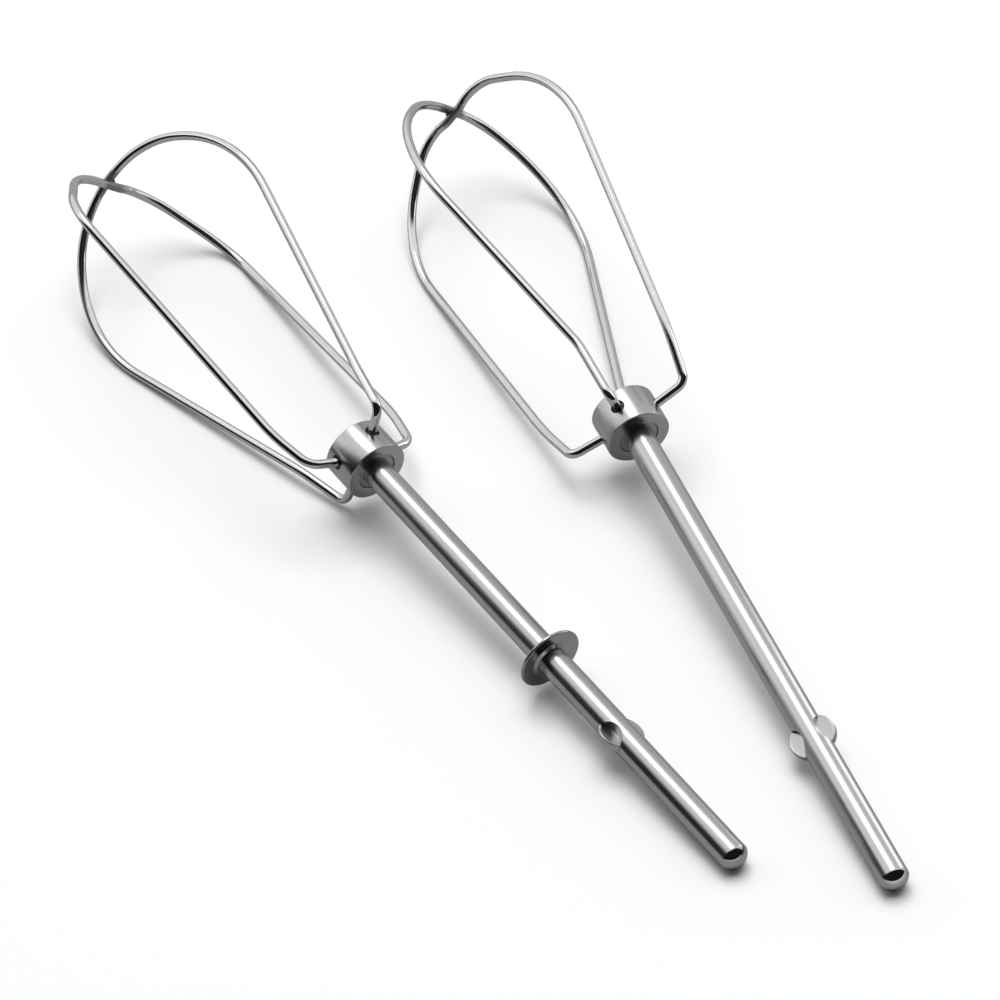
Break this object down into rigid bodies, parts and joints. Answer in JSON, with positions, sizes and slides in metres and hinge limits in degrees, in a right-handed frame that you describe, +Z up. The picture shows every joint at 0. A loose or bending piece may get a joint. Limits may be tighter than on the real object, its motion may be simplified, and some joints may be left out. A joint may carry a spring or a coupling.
{
  "type": "hand mixer beater pair",
  "caption": "Pair of loose wire beaters for a hand mixer, each with a ground shaft, pressed drive ears, a turned hub and a twisted wire cage; one carries a stop collar.",
  "frame": {"origin": "centre of the pair's footprint on the table", "axes": "+Z up from the table, +Y from the drive ends towards the cages, midway between the two shafts as seen from above"},
  "size_m": [0.0938, 0.2188, 0.0352],
  "materials": {
    "ground_shaft": "centreless ground and satin polished stainless rod, fine rings round it",
    "turned_hub": "fine turned stainless steel with concentric tool marks",
    "turned_ring": "turned stainless steel, a little darker, with rings",
    "polished_collar": "polished stainless disc with faint rings",
    "polished_wire": "bright polished stainless wire"
  },
  "bodies": {
    "ring_beater": {"ring_shaft": "ground_shaft", "ring_stop_collar": "polished_collar", "ring_hub": "turned_hub", "ring_lock_ring": "turned_ring", "ring_outer_loop": "polished_wire", "ring_inner_loop": "polished_wire"},
    "plain_beater": {"plain_shaft": "ground_shaft", "plain_hub": "turned_hub", "plain_lock_ring": "turned_ring", "plain_outer_loop": "polished_wire", "plain_inner_loop": "polished_wire"}
  },
  "joints": [
    {"name": "plain_beater_lift", "type": "slide", "parent": "ring_beater", "child": "plain_beater", "axis": [0, 0, 1], "range_m": [0, 0.12]}
  ]
}
